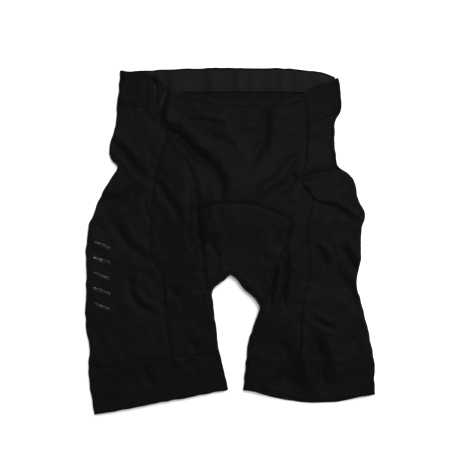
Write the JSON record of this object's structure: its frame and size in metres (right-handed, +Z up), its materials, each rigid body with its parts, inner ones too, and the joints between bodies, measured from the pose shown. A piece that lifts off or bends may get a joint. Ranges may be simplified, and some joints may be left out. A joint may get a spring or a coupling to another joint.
{
  "type": "padded cycling shorts",
  "caption": "Short-legged stretch shorts with a sewn-in seat pad, lying flat front up, with an open waist and leg openings.",
  "frame": {"origin": "on the surface the shorts lie on, under the middle of their overall box", "axes": "+Z up out of the front of the shorts, +Y from the hems towards the waist, +X towards the wearer's left"},
  "size_m": [0.3776, 0.45, 0.0224],
  "materials": {
    "stretch_cloth": "satin",
    "band_cloth": "matte",
    "elastic": "ribbed matte",
    "pad_cloth": "brushed matte",
    "foam": "matte",
    "thread": "satin",
    "gripper": "semi-gloss silicone",
    "transfer_film": "gloss"
  },
  "bodies": {
    "root": {"front_panel": "stretch_cloth", "crotch_gusset": "stretch_cloth", "side_panel_right": "stretch_cloth", "side_panel_left": "stretch_cloth", "back_panel_right": "stretch_cloth", "back_panel_left": "stretch_cloth", "waistband": "band_cloth", "waist_elastic": "elastic", "front_waist_binding": "band_cloth", "leg_band_right": "band_cloth", "leg_band_left": "band_cloth", "leg_gripper_right": "gripper", "leg_gripper_left": "gripper", "pad_base_cloth": "pad_cloth", "pad_foam": "foam", "pad_sit_foam_right": "foam", "pad_sit_foam_left": "foam", "pad_top_cloth": "pad_cloth", "front_seam_right": "thread", "front_seam_left": "thread", "back_side_seam_right": "thread", "back_side_seam_left": "thread", "centre_back_seam": "thread", "inseam_right": "thread", "inseam_left": "thread", "leg_band_seam_right": "thread", "leg_band_seam_left": "thread", "waist_seam": "thread", "gusset_seam": "thread", "transfer_mark_1": "transfer_film", "transfer_mark_2": "transfer_film", "transfer_mark_3": "transfer_film", "transfer_mark_4": "transfer_film", "transfer_mark_5": "transfer_film"}
  },
  "joints": []
}
